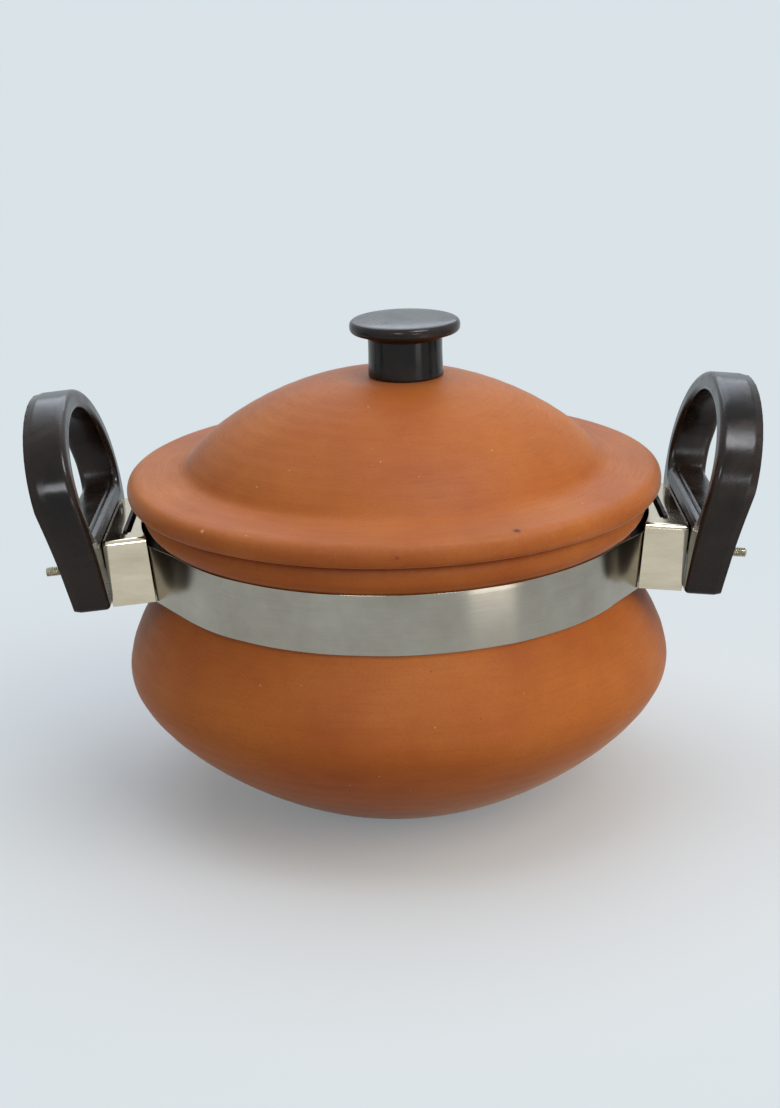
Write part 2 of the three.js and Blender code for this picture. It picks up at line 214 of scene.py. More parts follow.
def smooth(low: float, high: float, value: np.ndarray) -> np.ndarray:
    """Smooth step from 0 at low to 1 at high: 3 t^2 - 2 t^3."""
    t = np.clip((value - low) / (high - low), 0, 1)
    return t * t * (3 - 2 * t)


def bell(value: np.ndarray, centre: float, width: float) -> np.ndarray:
    """Gaussian bump of height 1."""
    return np.exp(-0.5 * ((value - centre) / width) ** 2)


def rubbed(line: np.ndarray, turn: np.ndarray, full: float) -> np.ndarray:
    """How much each point of a turned piece is an edge: the outward bend r' z'' - z' r'' over full.

    Args:
        line: Outline that runs anticlockwise.
        turn: Turn of each column.
        full: Bend, per millimetre, that counts as a whole edge.
    Returns:
        Values from 0 to 1, rows by columns.
    """
    run = run_of(line)
    slope = np.gradient(line, run, axis=0)
    bend = np.gradient(slope, run, axis=0)
    outward = slope[:, 0] * bend[:, 1] - slope[:, 1] * bend[:, 0]
    return np.clip(outward / full, 0, 1)[:, None] + 0 * turn


def turned(line: np.ndarray, columns: int) -> tuple[np.ndarray, np.ndarray]:
    """Surface of revolution: (r cos q, r sin q, z) for each outline point and turn q.

    Args:
        line: Outline of radius and height.
        columns: Steps of the turn.
    Returns:
        The points, rows by columns by 3, and the turn of each column.
    """
    turn = np.arange(columns) * 2 * np.pi / columns
    radius, height = line[:, :1], line[:, 1:]
    return np.stack(np.broadcast_arrays(
        radius * np.cos(turn), radius * np.sin(turn), height), -1), turn


def wheel_marks(line: np.ndarray, turn: np.ndarray, girth: float = 6) -> np.ndarray:
    """Coordinates for marks left by turning: a short way round, and the distance along the outline.

    Args:
        line: Outline of the piece.
        turn: Turn of each column.
        girth: Radius of the short way round, so that a mark is long and thin.
    Returns:
        (girth cos q, girth sin q, run), rows by columns by 3, in metres.
    """
    return np.stack(np.broadcast_arrays(
        girth * np.cos(turn), girth * np.sin(turn), run_of(line)[:, None]), -1) * MM


def make_piece(name: str, points: np.ndarray, finish: "Finish", body: Body, node: str,
               wrap: Flags = (False, True), poles: Flags = (False, False), skip: np.ndarray | None = None,
               crease: float = 40, **marks: np.ndarray) -> bpy.types.Object:
    """Makes a mesh object from a grid of points, with its finish and body, in place of its CAD node.

    Each cell of the grid is a face: (i, j), (i, j + 1), (i + 1, j + 1), (i + 1, j).

    Args:
        name: Name of the piece.
        points: Rows by columns by 3, in millimetres.
        finish: Its finish.
        body: The body it moves with.
        node: CAD node that it stands for.
        wrap: Whether the last row joins the first, and the last column the first.
        poles: Whether the first and the last row are one point each.
        skip: Cells to leave open, rows - 1 by columns - 1.
        crease: Angle in degrees from which an edge is sharp.
        marks: Attributes, a value or vector for each grid point.
    Returns:
        The object, at the origin, with the faces of a closed shell pointing outward.
    """
    rows, columns = points.shape[:2]
    number = np.arange(rows * columns).reshape(rows, columns)
    for row, is_pole in zip((0, -1), poles):
        if is_pole:
            number[row] = number[row, 0]
    grid = np.pad(number, ((0, int(wrap[0])), (0, int(wrap[1]))), mode="wrap")
    cells = np.stack([grid[:-1, :-1], grid[:-1, 1:], grid[1:, 1:], grid[1:, :-1]], -1)
    cells = cells.reshape(-1, 4) if skip is None else cells[~skip]
    used, faces = np.unique(cells, return_inverse=True)
    faces = faces.reshape(-1, 4)
    place = points.reshape(-1, 3)[used] * MM
    if skip is None:
        a, b, c, d = (place[faces[:, k]] for k in range(4))
        volume = np.sum(a * np.cross(b, c)) + np.sum(a * np.cross(c, d))
        faces = faces[:, ::-1] if volume < 0 else faces
    first, last = faces[:, 0] == faces[:, 1], faces[:, 2] == faces[:, 3]
    whole = faces[~(first | last)].tolist()
    corners = faces[first][:, 1:].tolist() + faces[last][:, :3].tolist()
    mesh = bpy.data.meshes.new(name)
    mesh.from_pydata(place.tolist(), [], whole + corners)
    for label, values in marks.items():
        kind, key = ("FLOAT_VECTOR", "vector") if values.ndim == 3 else ("FLOAT", "value")
        flat = values.reshape(rows * columns, -1)[used].ravel().astype(np.float32)
        mesh.attributes.new(label, kind, "POINT").data.foreach_set(key, flat)
    mesh.shade_smooth()
    mesh.set_sharp_from_angle(angle=math.radians(crease))
    mesh.update()
    mesh.materials.append(finish.material())
    piece = bpy.data.objects.new(name, mesh)
    bpy.context.scene.collection.objects.link(piece)
    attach(piece, body.value)
    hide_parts(node)
    log.info("%s: %d faces, %s, rides %s", name, len(mesh.polygons), finish.name, body.value)
    return piece


def refinish(node: str, finish: "Finish") -> None:
    """Gives a CAD node that stays its finish.

    Args:
        node: Name of the node.
        finish: Its finish.
    """
    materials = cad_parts[node].data.materials
    materials.clear()
    materials.append(finish.material())
    log.info("%s: CAD solid, %s", node, finish.name)


@dataclass(frozen=True)
class Finish:
    """A surface finish and the record slot that it stands for."""

    name: str
    slot: Slot

    def material(self) -> bpy.types.Material:
        """Makes the material of this finish once.

        Returns:
            The material.
        """
        made = bpy.data.materials.get(self.name)
        if made is None:
            made = bpy.data.materials.new(self.name)
            made.use_nodes = True
            tree = made.node_tree
            tree.nodes.clear()
            shader = add(tree, "BsdfPrincipled", self.paint(partial(add, tree)))
            add(tree, "OutputMaterial", {"Surface": shader})
        return made

    def paint(self, node: Nodes) -> dict[str, Any]:
        """Adds the nodes that make the pattern of this finish.

        Args:
            node: Adds one node to the material's tree.
        Returns:
            Principled sockets to their values, or to the outputs that feed them.
        """
        raise NotImplementedError


@dataclass(frozen=True)
class Nick:
    """Chip or stain at one place of the clay: its middle, its size and its colour."""

    place: Triple
    size: float
    colour: str


@dataclass(frozen=True)
class Terracotta(Finish):
    """Red earthenware, thrown, turned and burnished dry, then fired without a glaze.

    It gives the eye a matt orange with soft clouds from the kiln, mottles that darken it towards the foot,
    fine lines round the wheel's axis, grog showing as dark and pale specks, and paler dust and wear on
    convex edges, which also paints their edge highlight.
    """

    name: str = "terracotta_unglazed"
    slot: Slot = Slot.CLAY
    pale: str = "#bf702f"
    deep: str = "#ac5b22"
    line: str = "#8a4820"
    # Paler colour on convex edges: dust and wear, and also a painted edge highlight.
    edge_dust_and_highlight: str = "#c48a62"
    grog: str = "#5c2f1b"
    chalk: str = "#d9a67a"
    roughness: float = 0.54
    burnish: float = 0.05
    gloss: float = 0.22
    bloom: float = 0.35
    bloom_spread: float = 0.22
    cloud_size: float = 60.0
    line_size: float = 0.9
    ridge_size: float = 6.0
    grain_size: float = 0.7
    speck_spacing: float = 6.0
    # Mottles of a darker grog tone towards the foot: their size, the height where they end and the height
    # where they are full.
    foot_darkening_size: float = 16.0
    foot_darkening_top: float = 48.0
    foot_darkening_full: float = 4.0
    rub_size: float = 3.0
    relief: float = 0.08
    nicks: tuple[Nick, ...] = (
        Nick((44.0, -95.0, 138.0), 2.6, "#4a2414"), Nick((0.0, -109.0, 133.5), 1.5, "#8a4320"),
        Nick((-72.0, -80.0, 136.5), 1.2, "#dcb493"))

    def paint(self, node: Nodes) -> dict[str, Any]:
        """Clouds, wheel lines, darker mottles towards the foot, paler edges that are dust and wear with a
        painted edge highlight, specks and nicks; lines and grain carry the relief.

        Args:
            node: Adds one node to the material's tree.
        Returns:
            Principled sockets, as in Finish.
        """
        place = node("TexCoord", output="Object")
        wheel = node("Attribute", output="Vector", attribute_name="wheel")
        rub = node("Attribute", output="Fac", attribute_name="rub")
        cloud, lines, ridges, grain, foot_darkening, patch = (
            node("TexNoise", {"Vector": where, "Scale": per(size), "Detail": detail, "Roughness": rough})
            for where, size, detail, rough in (
                (place, self.cloud_size, 4.0, 0.55), (wheel, self.line_size, 3.0, 0.6),
                (wheel, self.ridge_size, 1.0, 0.5), (place, self.grain_size, 2.0, 0.5),
                (place, self.foot_darkening_size, 5.0, 0.7), (place, self.rub_size, 4.0, 0.7)))
        specks = node("TexVoronoi", {"Vector": place, "Scale": per(self.speck_spacing), "Randomness": 1.0})
        kind = node("SeparateColor", {"Color": specks.node.outputs["Color"]}).node.outputs
        body, worn, sand, foot_darkening, patch, near, low, matt = (
            node("MapRange", {
                "Value": value, "From Min": start, "From Max": end, "To Min": least, "To Max": most})
            for value, start, end, least, most in (
                (cloud, 0.36, 0.66, 0.0, 1.0), (lines, 0.45, 0.8, 0.0, 0.17), (grain, 0.35, 0.7, 0.0, 0.16),
                (foot_darkening, 0.4, 0.72, 0.06, 0.5), (patch, 0.35, 0.7, 0.04, 0.2),
                (specks.node.outputs["Distance"], 0.03, 0.07, 1.0, 0.0),
                # Share of the darker tone by height: full near the foot, none from the upper height up.
                (node("SeparateXYZ", {0: place}, "Z"), self.foot_darkening_top * MM, self.foot_darkening_full * MM, 0.0, 1.0),
                (lines, 0.3, 0.7, self.roughness - self.burnish, self.roughness + self.burnish)))
        is_grog, is_chalk = (node("Math", {0: kind[channel], 1: above}, operation="GREATER_THAN")
                             for channel, above in (("Red", 0.88), ("Green", 0.8)))
        # pale: paler colour on convex edges in patches, dust and wear that also paints the edges' highlight.
        foot_darkening, pale, dark, light = (
            node("Math", {0: value, 1: share}, operation="MULTIPLY")
            for value, share in ((foot_darkening, low), (rub, patch), (near, is_grog), (near, is_chalk)))
        layers = [(body, self.pale), (worn, self.line), (sand, self.grog), (foot_darkening, self.grog),
                  (pale, self.edge_dust_and_highlight), (dark, self.grog), (light, self.chalk)]
        for nick in self.nicks:
            size = nick.size * MM
            middle = tuple(value * MM for value in nick.place)
            far = node("VectorMath", {0: place, 1: middle}, "Value", operation="DISTANCE")
            far = node("Math", {0: grain, 1: size, 2: far}, operation="MULTIPLY_ADD")
            layers.append((node("MapRange", {
                "Value": far, "From Min": 0.8 * size, "From Max": 1.2 * size, "To Min": 0.85,
                "To Max": 0.0}), nick.colour))
        clay, height = linear(self.deep), lines
        for share, colour in layers:
            clay = node("Mix", {0: share, 6: clay, 7: linear(colour)}, 2, data_type="RGBA")
        for part, weight in ((ridges, 1.4), (grain, 0.35), (near, -0.2)):
            height = node("Math", {0: part, 1: weight, 2: height}, operation="MULTIPLY_ADD")
        relief = node("Bump", {"Strength": 0.6, "Distance": self.relief * MM, "Height": height})
        return {"Base Color": clay, "Roughness": matt, "Normal": relief, "Specular IOR Level": self.gloss,
                "Sheen Weight": self.bloom, "Sheen Roughness": self.bloom_spread}


@dataclass(frozen=True)
class Bakelite(Finish):
    """Phenolic moulding, dark brown-black, pressed in a polished steel die.

    It gives the eye a glossy skin with faint flow waves, dull finger marks and a browner, duller bloom
    where the resin has aged, with edges rubbed a shade paler.
    """

    name: str = "bakelite_moulded"
    slot: Slot = Slot.BAKELITE
    resin: str = "#140e0b"
    bloom: str = "#2c221c"
    edge: str = "#362c27"
    gloss: float = 0.15
    dull: float = 0.34
    ior: float = 1.5
    mirror: float = 0.26
    bloom_size: float = 26.0
    flow_size: float = 11.0
    mark_size: float = 1.2
    relief: float = 0.09

    def paint(self, node: Nodes) -> dict[str, Any]:
        """Bloom drives both colour and roughness; flow waves and fine marks carry the relief.

        Args:
            node: Adds one node to the material's tree.
        Returns:
            Principled sockets, as in Finish.
        """
        place = node("TexCoord", output="Object")
        rub = node("Attribute", output="Fac", attribute_name="rub")
        bloom, flow, marks = (
            node("TexNoise", {"Vector": place, "Scale": per(size), "Detail": detail, "Roughness": rough,
                              "Distortion": swirl})
            for size, detail, rough, swirl in (
                (self.bloom_size, 4.0, 0.6, 0.6), (self.flow_size, 2.0, 0.5, 1.5),
                (self.mark_size, 3.0, 0.65, 0.0)))
        bloom = node("MapRange", {"Value": bloom, "From Min": 0.38, "From Max": 0.66})
        chafe = node("MapRange", {
            "Value": marks, "From Min": 0.35, "From Max": 0.7, "To Min": 0.1, "To Max": 0.6})
        chafe = node("Math", {0: rub, 1: chafe}, operation="MULTIPLY")
        skin = linear(self.resin)
        for share, colour in ((bloom, self.bloom), (chafe, self.edge)):
            skin = node("Mix", {0: share, 6: skin, 7: linear(colour)}, 2, data_type="RGBA")
        sheen, height = (
            node("Math", {0: marks, 1: weight, 2: base}, operation="MULTIPLY_ADD")
            for weight, base in ((0.35, bloom), (0.08, flow)))
        sheen = node("MapRange", {
            "Value": sheen, "From Min": 0.1, "From Max": 1.2, "To Min": self.gloss, "To Max": self.dull})
        relief = node("Bump", {"Strength": 0.6, "Distance": self.relief * MM, "Height": height})
        return {"Base Color": skin, "Roughness": sheen, "Normal": relief, "IOR": self.ior,
                "Specular IOR Level": self.mirror}


@dataclass(frozen=True)
class RolledSteel(Finish):
    """Stainless strip, cold rolled to a satin skin.

    It gives the eye soft, stretched reflections, fine lines along the strip and cloudy handling marks.
    The lines are about 0.05 mm on the real strip and are drawn at 0.4 mm so that they show.
    """

    name: str = "stainless_steel_rolled"
    slot: Slot = Slot.STAINLESS
    bright: str = "#aca497"
    shade: str = "#938a7d"
    # Near-black colour of the strip's face towards the neck: painted shade, so the gap behind the band looks
    # dark.
    inside: str = "#2b2724"
    satin: float = 0.17
    worn: float = 0.25
    line_size: float = 0.4
    line_stretch: float = 0.02
    line_height: float = 0.0015
    smear_size: float = 24.0
    dent_size: float = 30.0
    relief: float = 0.25

    def paint(self, node: Nodes) -> dict[str, Any]:
        """Rolling lines follow the strip's own coordinates; smears dull it and wide dents bend it.

        Args:
            node: Adds one node to the material's tree.
        Returns:
            Principled sockets, as in Finish.
        """
        strip = node("Attribute", output="Vector", attribute_name="strip")
        drawn = node("Mapping", {"Vector": strip, "Scale": (self.line_stretch, 1.0, 1.0)})
        lines, smear, dents = (
            node("TexNoise", {"Vector": where, "Scale": per(size), "Detail": detail, "Roughness": rough})
            for where, size, detail, rough in (
                (drawn, self.line_size, 2.0, 0.5), (strip, self.smear_size, 4.0, 0.6),
                (strip, self.dent_size, 1.0, 0.5)))
        tone, height = (
            node("Math", {0: lines, 1: weight, 2: base}, operation="MULTIPLY_ADD")
            for weight, base in ((0.3, smear), (self.line_height, dents)))
        tone = node("MapRange", {"Value": tone, "From Min": 0.4, "From Max": 0.95})
        # The face towards the neck takes the near-black painted shade; the outer face keeps the steel's own
        # tone.
        outer = node("SeparateXYZ", {0: strip}, "Z")
        outer = node("Math", {0: outer, 1: 0.0}, operation="GREATER_THAN")
        skin = node("Mix", {
            0: tone, 6: linear(self.bright), 7: linear(self.shade)}, 2, data_type="RGBA")
        skin = node("Mix", {0: outer, 6: linear(self.inside), 7: skin}, 2, data_type="RGBA")
        dull = node("MapRange", {"Value": tone, "To Min": self.satin, "To Max": self.worn})
        relief = node("Bump", {"Strength": 0.5, "Distance": self.relief * MM, "Height": height})
        return {"Base Color": skin, "Roughness": dull, "Normal": relief, "Metallic": 1.0}


@dataclass(frozen=True)
class PlatedMetal(Finish):
    """Turned or plated metal, such as zinc-plated steel or brass.

    It gives the eye a mottled satin metal with darker grease between the marks.
    """

    bright: str = "#d8d2c0"
    shade: str = "#aca592"
    satin: float = 0.28
    dull: float = 0.48
    mark_size: float = 1.6
    mark_stretch: Triple = (1.0, 1.0, 1.0)
    mark_detail: float = 4.0
    mark_rough: float = 0.6
    mark_start: float = 0.35
    ripple_size: float = 0.0
    ripple: float = 0.3
    relief: float = 0.03

    def paint(self, node: Nodes) -> dict[str, Any]:
        """Marks drive tone and roughness; the relief is the press's ripple, or else the marks.

        Args:
            node: Adds one node to the material's tree.
        Returns:
            Principled sockets, as in Finish.
        """
        place = node("TexCoord", output="Object")
        drawn = node("Mapping", {"Vector": place, "Scale": self.mark_stretch})
        marks = height = node("TexNoise", {
            "Vector": drawn, "Scale": per(self.mark_size), "Detail": self.mark_detail,
            "Roughness": self.mark_rough})
        if self.ripple_size:
            height = node("TexNoise", {"Vector": place, "Scale": per(self.ripple_size), "Detail": 1.0})
        patch = node("MapRange", {"Value": marks, "From Min": self.mark_start, "From Max": 0.7})
        skin = node("Mix", {
            0: patch, 6: linear(self.bright), 7: linear(self.shade)}, 2, data_type="RGBA")
        dull = node("MapRange", {"Value": patch, "To Min": self.satin, "To Max": self.dull})
        relief = node("Bump", {"Strength": self.ripple, "Distance": self.relief * MM, "Height": height})
        return {"Base Color": skin, "Roughness": dull, "Normal": relief, "Metallic": 1.0}


@dataclass(frozen=True)
class NickelPlate(PlatedMetal):
    """Bright nickel over pressed steel sheet.

    It gives the eye a warm mirror, slightly rippled by the press, with faint wipe marks.
    """

    name: str = "nickel_plate_bright"
    slot: Slot = Slot.NICKEL
    bright: str = "#e2d2b8"
    shade: str = "#cdbda3"
    satin: float = 0.06
    dull: float = 0.17
    mark_size: float = 14.0
    mark_stretch: Triple = (0.4, 0.4, 1.6)
    mark_detail: float = 5.0
    mark_rough: float = 0.65
    mark_start: float = 0.36
    ripple_size: float = 9.0
    ripple: float = 0.5
    relief: float = 0.05


@dataclass(frozen=True)
class Palette:
    """All finishes of the object."""

    clay: Finish = Terracotta()
    bakelite: Finish = Bakelite()
    strip: Finish = RolledSteel()
    nickel: Finish = NickelPlate()
    zinc: Finish = PlatedMetal("zinc_plate_passivated", Slot.ZINC)
    brass: Finish = PlatedMetal("brass_turned", Slot.BRASS, "#c69b4f", "#94703a")
    # Near-black, dull steel inside the brackets and on the clamp plates: painted shade, so the hollow looks
    # black.
    hollow_painted_shade: Finish = PlatedMetal("steel_unplated_inside", Slot.NICKEL, "#3b3733", "#221f1c", 0.5, 0.7, 6.0)


@dataclass
class Pot:
    """Clay pot: flat foot, wide belly, a neck for the band and a flared lip, all one wall."""

    palette: Palette
    foot: float = 42.0
    belly: float = 112.0
    belly_height: float = 56.0
    wall: float = 7.0
    floor: float = 8.0
    neck: float = 96.9
    band_low: float = 91.4
    band_high: float = 115.4
    lip_flare: float = 6.3
    lip_height: float = 12.2
    corner: float = 1.2
    ring_height: float = 0.05
    ring_pitch: float = 8.5
    oval: float = 0.25
    edge_bend: float = 0.25
    # The rings fade over these heights below the band, radii round the axis and heights off the ground.
    fade_band: Point = (80.0, 90.0)
    fade_axis: Point = (12.0, 30.0)
    fade_floor: Point = (2.0, 10.0)
    step: float = 1.5
    columns: int = 180

    def flank(self, wide: float, foot: float, floor: float, neck: float) -> np.ndarray:
        """Side of the pot from foot to neck: two Bezier curves that meet upright at the belly.

        Args:
            wide: Radius at the belly.
            foot: Radius at the floor.
            floor: Height of the floor.
            neck: Radius at the neck.
        Returns:
            Points of radius and height.
        """
        low, middle = self.band_low - 0.8, self.belly_height
        rise, drop = low - middle, middle - floor
        return trace(
            (foot, floor),
            ((foot + 0.25 * (wide - foot), floor + 0.035 * drop),
             (wide - 0.03 * (wide - foot), floor + 0.63 * drop), (wide, middle)),
            ((wide, middle + 0.34 * rise), (neck + 0.56 * (wide - neck), middle + 0.67 * rise), (neck, low)))

    def outline(self) -> np.ndarray:
        """Outline from the middle of the foot, up the outside, over the lip and down the inside.

        Returns:
            Points of radius and height.
        """
        high, tall = self.band_high + 0.5, self.lip_height
        rim, out, mouth = high + tall, self.neck + self.lip_flare, self.neck - self.wall
        lip = trace(
            (self.neck, high),
            ((self.neck + 0.65 * self.lip_flare, high + 0.1 * tall), (out, high + 0.35 * tall),
             (out, high + 0.66 * tall)),
            ((out, rim), (out - 0.33 * tall, rim)), ((mouth + 0.25 * tall, rim),),
            ((mouth, rim), (mouth, rim - 0.25 * tall)))
        outside = self.flank(self.belly, self.foot, 0, self.neck)
        inside = self.flank(self.belly - self.wall, self.foot - self.wall / 2, self.floor, mouth)
        whole = chain(np.array([[0.0, 0.0]]), outside, lip, inside[::-1], np.array([[0.0, self.floor]]))
        return soften(whole, self.step, self.corner)

    def build(self) -> None:
        """Turns the wall, with slow rings from the thrower's fingers away from the band and the lid."""
        line = self.outline()
        points, turn = turned(line, self.columns)
        run, radius, height = run_of(line)[:, None], line[:, :1], line[:, 1:]
        clear = 1 - smooth(*self.fade_band, height)
        clear = clear * smooth(*self.fade_axis, radius) * smooth(*self.fade_floor, height)
        ring = self.ring_height * np.sin(2 * np.pi * run / self.ring_pitch + 0.8 * np.sin(turn))
        ring = ring + self.oval * np.cos(2 * turn + 0.6)
        points[..., :2] *= (1 + clear * ring / np.maximum(radius, 1))[..., None]
        make_piece("clay_pot", points, self.palette.clay, Body.POT, "pot", poles=BOTH,
                   wheel=wheel_marks(line, turn), rub=rubbed(line, turn, self.edge_bend))


@dataclass
class Lid:
    """Domed clay lid with a rounded brim, a locating ring below and a hole for the knob's screw."""

    palette: Palette
    seat: float = 128.4
    ring: float = 88.4
    ring_width: float = 8.0
    ring_drop: float = 6.0
    brim: float = 109.0
    brim_thick: float = 9.8
    brim_round: float = 4.6
    dome_foot: float = 85.0
    dome_flat: float = 22.0
    dome_rise: float = 37.0
    wall: float = 7.0
    hole: float = 2.8
    hole_offset: float = 6.0
    under_corner: float = 0.8
    upper_corner: float = 1.7
    wave_height: float = 0.05
    wave_pitch: float = 7.0
    warp: float = 0.3
    edge_bend: float = 0.22
    # The waves fade in over these heights above the seat and these radii, and the warp over the last.
    fade_seat: Point = (6.0, 14.0)
    fade_axis: Point = (24.0, 40.0)
    fade_warp: Point = (60.0, 100.0)
    step: float = 1.3
    columns: int = 180

    def outline(self) -> np.ndarray:
        """Closed outline: from the hole along the underside, round ring and brim, over the dome and back.

        Returns:
            Points of radius and height.
        """
        low, top = self.seat, self.seat + self.brim_thick
        crown, under, foot = top + self.dome_rise, top + self.dome_rise - self.wall, top + 3
        ring, inner, sunk = self.ring, self.ring - self.ring_width, self.seat - self.ring_drop
        wide, flat, brim, curl = self.dome_foot, self.dome_flat, self.brim, self.brim_round
        span, hollow = wide - flat, inner - flat
        bottom = trace(
            (self.hole, under), ((flat, under),),
            ((flat + 0.4 * hollow, under - 0.1 * (under - low)),
             (inner - 0.12 * hollow, low + 0.5 * (under - low)), (inner, low)),
            ((inner, sunk), (inner + 1.5, sunk)), ((ring - 2, sunk),), ((ring, sunk), (ring, sunk + 2)),
            ((ring, low),), ((brim - 0.7 * curl, low),))
        upper = trace(
            (brim - 0.7 * curl, low), ((brim, low), (brim, low + 0.8 * curl)), ((brim, top - curl),),
            ((brim, top), (brim - curl, top)), ((wide + 6, top + 1.4),),
            ((wide + 3, top + 1.7), (wide, foot)),
            ((wide - 0.14 * span, foot + 0.4 * (crown - foot)),
             (flat + 0.38 * span, crown - 0.1 * (crown - foot)), (flat, crown)),
            ((self.hole, crown),))
        hole = bezier((self.hole, crown), (self.hole, under), count=8)
        return chain(soften(bottom, self.step, self.under_corner),
                     soften(upper, self.step, self.upper_corner), hole[1:-1])

    def build(self) -> None:
        """Turns the outline; near the middle the turn moves over to the hole of the screw."""
        line = self.outline()
        points, turn = turned(line, self.columns)
        run, radius, height = run_of(line)[:, None], line[:, :1], line[:, 1:]
        points[..., 0] += self.hole_offset * (1 - smooth(self.hole + 2, self.dome_flat, radius))
        start, full = self.fade_seat
        clear = smooth(self.seat + start, self.seat + full, height) * smooth(*self.fade_axis, radius)
        wave = self.wave_height * np.sin(2 * np.pi * run / self.wave_pitch + 0.9 * np.sin(turn))
        warp = self.warp * np.cos(2 * turn + 1.1) * smooth(*self.fade_warp, radius)
        points[..., 2] += clear * (wave + warp)
        make_piece("clay_lid", points, self.palette.clay, Body.LID, "lid", wrap=BOTH,
                   wheel=wheel_marks(line, turn), rub=rubbed(line, turn, self.edge_bend))


@dataclass
class Knob:
    """Moulded mushroom knob of the lid, with a socket for its insert."""

    palette: Palette
    offset: float = 6.0
    base: float = 175.5
    height: float = 23.4
    radius: float = 22.3
    cap: float = 5.8
    stem: float = 15.2
    waist: float = 14.9
    socket: float = 4.9
    socket_top: float = 189.8
    edge_bend: float = 0.5
    columns: int = 120

    def outline(self) -> np.ndarray:
        """Outline from the top of the socket, down its wall, up the stem and over the cap.

        Returns:
            Points of radius and height.
        """
        base, stem, waist, wide, top = self.base, self.stem, self.waist, self.radius, self.socket_top
        crown, lip = base + self.height, base + self.height - self.cap
        return trace(
            (0, top), ((self.socket, top),), ((self.socket, base),), ((stem - 0.4, base),),
            ((stem, base), (stem, base + 0.5)),
            ((waist, base + 0.3 * self.height), (waist, base + 0.5 * self.height), (waist + 0.1, lip - 2.2)),
            ((waist + 1.4, lip - 2.2), (waist + 1.5, lip - 1.1)),
            ((waist + 1.8, lip - 0.2), (wide - 2.2, lip)),
            ((wide, lip), (wide, lip + 2.1)), ((wide, crown - 2.9),),
            ((wide, crown - 0.9), (wide - 2.6, crown - 0.6)), ((wide - 9, crown), (0, crown)),
            counts=(6, 10, 10, 6, 30, 6, 16, 10, 4, 14, 30))

    def build(self) -> None:
        """Turns the outline about the knob's own axis."""
        line = self.outline()
        points, turn = turned(line, self.columns)
        points[..., 0] += self.offset
        make_piece("knob_moulding", points, self.palette.bakelite, Body.LID, "knob", poles=BOTH,
                   crease=50, rub=rubbed(line, turn, self.edge_bend))


@dataclass(frozen=True)
class LeaningFrame:
    """Frame of a bracket: a outward from the neck, y across, h up the leaning edge."""

    side: Side
    x: float = 96.9
    z: float = 92.0
    lean: float = math.radians(5.5)

    def place(self, a: np.ndarray, y: np.ndarray, h: np.ndarray) -> np.ndarray:
        """Points of the part: X = x + a cos L + h sin L, Z = z - a sin L + h cos L, turned to the side.

        Args:
            a: Distance outward.
            y: Distance across.
            h: Distance up.
        Returns:
            The points, with the three values last.
        """
        out = self.x + a * math.cos(self.lean) + h * math.sin(self.lean)
        up = self.z - a * math.sin(self.lean) + h * math.cos(self.lean)
        return self.side.turn(np.stack(np.broadcast_arrays(out, y, up), -1))


